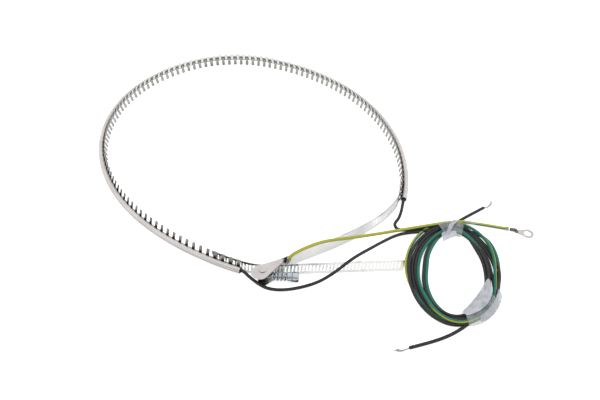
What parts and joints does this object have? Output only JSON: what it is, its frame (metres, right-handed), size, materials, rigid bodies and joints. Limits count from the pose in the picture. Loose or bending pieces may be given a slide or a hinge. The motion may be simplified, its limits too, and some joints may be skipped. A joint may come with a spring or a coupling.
{
  "type": "crankcase heater",
  "caption": "Belly-band crankcase heater: a comb-edged metal hoop with a swivelling worm-screw clamp, a long strap tail, black leads and a ground lead in a tied hank.",
  "frame": {"origin": "centre of the hoop, on the plane that it lies on", "axes": "+Z along the compressor shell's axis, up; +X along the strap's tail; the clamp is towards -Y"},
  "size_m": [0.4201, 0.4342, 0.0199],
  "materials": {
    "sheath_steel": "satin",
    "strap_steel": "bright",
    "clamp_steel": "satin",
    "screw_zinc": "zinc plated",
    "tinned_copper": "tin plated",
    "cable_silicone": "matte",
    "seal_rubber": "matte",
    "lead_black": "matte",
    "lead_green_yellow": "matte",
    "hank_wire": "matte",
    "clear_film": "clear"
  },
  "bodies": {
    "heater": {"sheath": "sheath_steel", "heating_cable": "cable_silicone", "seal_left": "seal_rubber", "seal_right": "seal_rubber", "tail_strap": "strap_steel", "ground_strap": "strap_steel", "clamp_bracket": "clamp_steel", "ground_crimp": "tinned_copper", "lead_a": "lead_black", "lead_b": "lead_black", "ground_lead": "lead_green_yellow", "lead_a_end": "lead_black", "lead_b_end": "lead_black", "ground_end": "lead_green_yellow", "strands_a": "tinned_copper", "strands_b": "tinned_copper", "lead_hank": "hank_wire", "film_top": "clear_film", "film_side": "clear_film", "ring_terminal": "tinned_copper", "ground_core": "tinned_copper"},
    "swivel": {"saddle": "screw_zinc"},
    "screw": {"worm_screw": "screw_zinc"}
  },
  "joints": [
    {"name": "screw_swivel", "type": "hinge", "parent": "heater", "child": "swivel", "pos_m": [0.0252, -0.1923, 0.00715], "axis": [0, 0, -1], "range_deg": [-5, 60]},
    {"name": "screw_turn", "type": "hinge", "parent": "swivel", "child": "screw", "pos_m": [0.0252, -0.1923, 0.00715], "axis": [0.9989, -0.0471, 0], "continuous": true}
  ]
}
